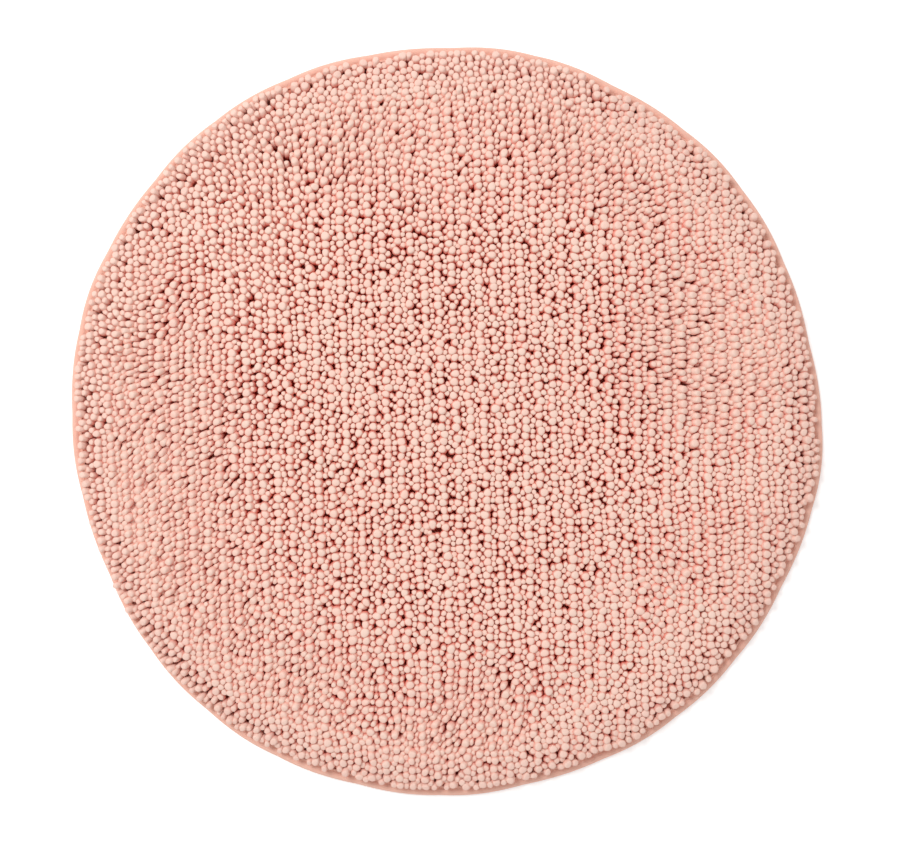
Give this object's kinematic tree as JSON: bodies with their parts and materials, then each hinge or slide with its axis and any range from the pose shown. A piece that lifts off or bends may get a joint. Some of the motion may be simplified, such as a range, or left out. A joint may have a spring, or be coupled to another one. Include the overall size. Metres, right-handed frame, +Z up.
{
  "type": "bath mat",
  "caption": "Round bath mat with a deep tufted chenille pile, a taped and stitched edge and an anti-slip underside.",
  "frame": {"origin": "centre of the underside, on the floor", "axes": "+Z up out of the pile, +Y along the tufted rows, +X across them"},
  "size_m": [0.7, 0.7, 0.024],
  "materials": {
    "pile_yarn": "matte",
    "canvas": "matte",
    "binding_tape": "matte",
    "sewing_thread": "satin",
    "grip_rubber": "matte",
    "label_satin": "satin"
  },
  "bodies": {
    "root": {"anti_slip_coat": "grip_rubber", "care_label": "label_satin", "base_cloth": "canvas", "edge_binding": "binding_tape", "needle_thread": "sewing_thread", "bobbin_thread": "sewing_thread", "pile_row_01": "pile_yarn", "pile_row_02": "pile_yarn", "pile_row_03": "pile_yarn", "pile_row_04": "pile_yarn", "pile_row_05": "pile_yarn", "pile_row_06": "pile_yarn", "pile_row_07": "pile_yarn", "pile_row_08": "pile_yarn", "pile_row_09": "pile_yarn", "pile_row_10": "pile_yarn", "pile_row_11": "pile_yarn", "pile_row_12": "pile_yarn", "pile_row_13": "pile_yarn", "pile_row_14": "pile_yarn", "pile_row_15": "pile_yarn", "pile_row_16": "pile_yarn", "pile_row_17": "pile_yarn", "pile_row_18": "pile_yarn", "pile_row_19": "pile_yarn", "pile_row_20": "pile_yarn", "pile_row_21": "pile_yarn", "pile_row_22": "pile_yarn", "pile_row_23": "pile_yarn", "pile_row_24": "pile_yarn", "pile_row_25": "pile_yarn", "pile_row_26": "pile_yarn", "pile_row_27": "pile_yarn", "pile_row_28": "pile_yarn", "pile_row_29": "pile_yarn", "pile_row_30": "pile_yarn", "pile_row_31": "pile_yarn", "pile_row_32": "pile_yarn", "pile_row_33": "pile_yarn", "pile_row_34": "pile_yarn", "pile_row_35": "pile_yarn", "pile_row_36": "pile_yarn", "pile_row_37": "pile_yarn", "pile_row_38": "pile_yarn", "pile_row_39": "pile_yarn", "pile_row_40": "pile_yarn", "pile_row_41": "pile_yarn", "pile_row_42": "pile_yarn", "pile_row_43": "pile_yarn", "pile_row_44": "pile_yarn", "pile_row_45": "pile_yarn", "pile_row_46": "pile_yarn", "pile_row_47": "pile_yarn", "pile_row_48": "pile_yarn", "pile_row_49": "pile_yarn", "pile_row_50": "pile_yarn", "pile_row_51": "pile_yarn", "pile_row_52": "pile_yarn", "pile_row_53": "pile_yarn"}
  },
  "joints": []
}
